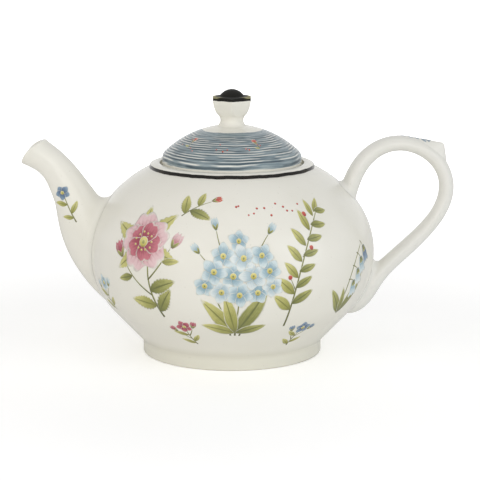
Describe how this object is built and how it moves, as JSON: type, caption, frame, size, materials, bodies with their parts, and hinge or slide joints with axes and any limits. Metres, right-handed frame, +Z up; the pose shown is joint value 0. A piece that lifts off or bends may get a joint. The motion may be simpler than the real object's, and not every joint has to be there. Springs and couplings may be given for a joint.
{
  "type": "teapot",
  "caption": "Round-bellied porcelain teapot with a curved spout, an ear-shaped handle with a thumb spur and a lift-off domed lid with a faceted knob.",
  "frame": {"origin": "centre of the foot ring's underside, on the axis of the bowl", "axes": "+Z up along the axis of the bowl, +X towards the handle, -X towards the spout"},
  "size_m": [0.2545, 0.168, 0.156],
  "materials": {
    "glaze_body": "warm white gloss glaze with printed sprigs and a dark rim line",
    "glaze_foot": "warm white gloss glaze, bare clay on the underside",
    "glaze_spout": "warm white gloss glaze with a printed sprig",
    "glaze_inner": "plain warm white gloss glaze",
    "glaze_handle": "warm white gloss glaze with a printed sprig",
    "glaze_lid": "gloss glaze with fine blue-grey brushed rings",
    "glaze_knob": "warm white gloss glaze with a dark domed top"
  },
  "bodies": {
    "pot": {"pot_body": "glaze_body", "foot_ring": "glaze_foot", "spout": "glaze_spout", "spout_strainer": "glaze_inner", "handle": "glaze_handle"},
    "lid": {"lid_dome": "glaze_lid", "lid_flange": "glaze_inner", "knob": "glaze_knob"}
  },
  "joints": [
    {"name": "lid_lift", "type": "slide", "parent": "pot", "child": "lid", "axis": [0, 0, 1], "range_m": [0, 0.08]}
  ]
}
